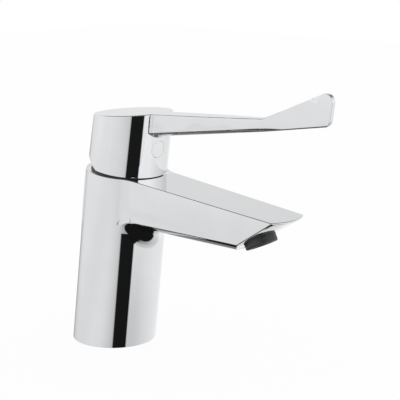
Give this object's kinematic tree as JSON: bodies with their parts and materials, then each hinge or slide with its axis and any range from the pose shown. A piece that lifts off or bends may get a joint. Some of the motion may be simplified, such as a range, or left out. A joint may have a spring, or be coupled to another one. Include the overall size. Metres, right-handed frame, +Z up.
{
  "type": "basin mixer tap",
  "caption": "Single-lever basin mixer with a leaning column, a flat-topped spout, a long lever that ends in an upright paddle, a ceramic disc cartridge and an aerator.",
  "frame": {"origin": "centre of the column's foot, on the deck", "axes": "+X forward along the spout and the lever, +Z up, +Y to the right of a user who faces the tap"},
  "size_m": [0.1725, 0.046, 0.1503],
  "materials": {
    "body_chrome": "polished chrome plate on cast brass",
    "trim_plastic": "dark grey moulded plastic",
    "lever_chrome": "polished chrome plate on die-cast zinc",
    "plug_chrome": "polished chrome plate",
    "aerator_plastic": "dark grey moulded plastic",
    "screen_plastic": "grey moulded plastic",
    "core_plastic": "white moulded plastic",
    "black_rubber": "black moulded rubber",
    "cartridge_plastic": "off-white moulded plastic",
    "guide_plastic": "dark grey moulded plastic",
    "limit_plastic": "red moulded plastic",
    "insert_plastic": "black moulded plastic",
    "ceramic": "white lapped ceramic",
    "steel": "stainless steel",
    "brass": "machined brass"
  },
  "bodies": {
    "body": {"tap_body": "body_chrome", "foot_gasket": "black_rubber", "cartridge_base": "cartridge_plastic", "port_seals": "black_rubber", "disc_seals": "black_rubber", "fixed_disc": "ceramic", "cartridge_housing": "cartridge_plastic", "retaining_nut": "brass", "trim_collar": "trim_plastic", "aerator_shell": "aerator_plastic", "aerator_screen": "screen_plastic", "aerator_core": "core_plastic", "flow_regulator": "core_plastic", "aerator_washer": "black_rubber"},
    "rotor": {"stem_guide": "guide_plastic", "guide_o_ring": "black_rubber", "limit_ring": "limit_plastic", "pivot_pin": "steel"},
    "lever": {"lever_handle": "lever_chrome", "lever_stem": "brass", "stem_insert": "insert_plastic", "set_screw": "steel", "index_plug": "plug_chrome"},
    "slider": {"moving_disc": "ceramic", "disc_carrier": "guide_plastic"}
  },
  "joints": [
    {"name": "temperature", "type": "hinge", "parent": "body", "child": "rotor", "pos_m": [0.01239, 0, 0.0979], "axis": [0.0889, 0, 0.996], "range_deg": [-50, 50]},
    {"name": "lift", "type": "hinge", "parent": "rotor", "child": "lever", "pos_m": [0.01239, 0, 0.0979], "axis": [0, -1, 0], "range_deg": [0, 25]},
    {"name": "disc_slide", "type": "slide", "parent": "rotor", "child": "slider", "axis": [0.996, 0, -0.0889], "range_m": [0, 0.0055]}
  ],
  "couplings": [
    {"joint": "disc_slide", "follows": "lift", "m_per_rad": 0.01247}
  ]
}
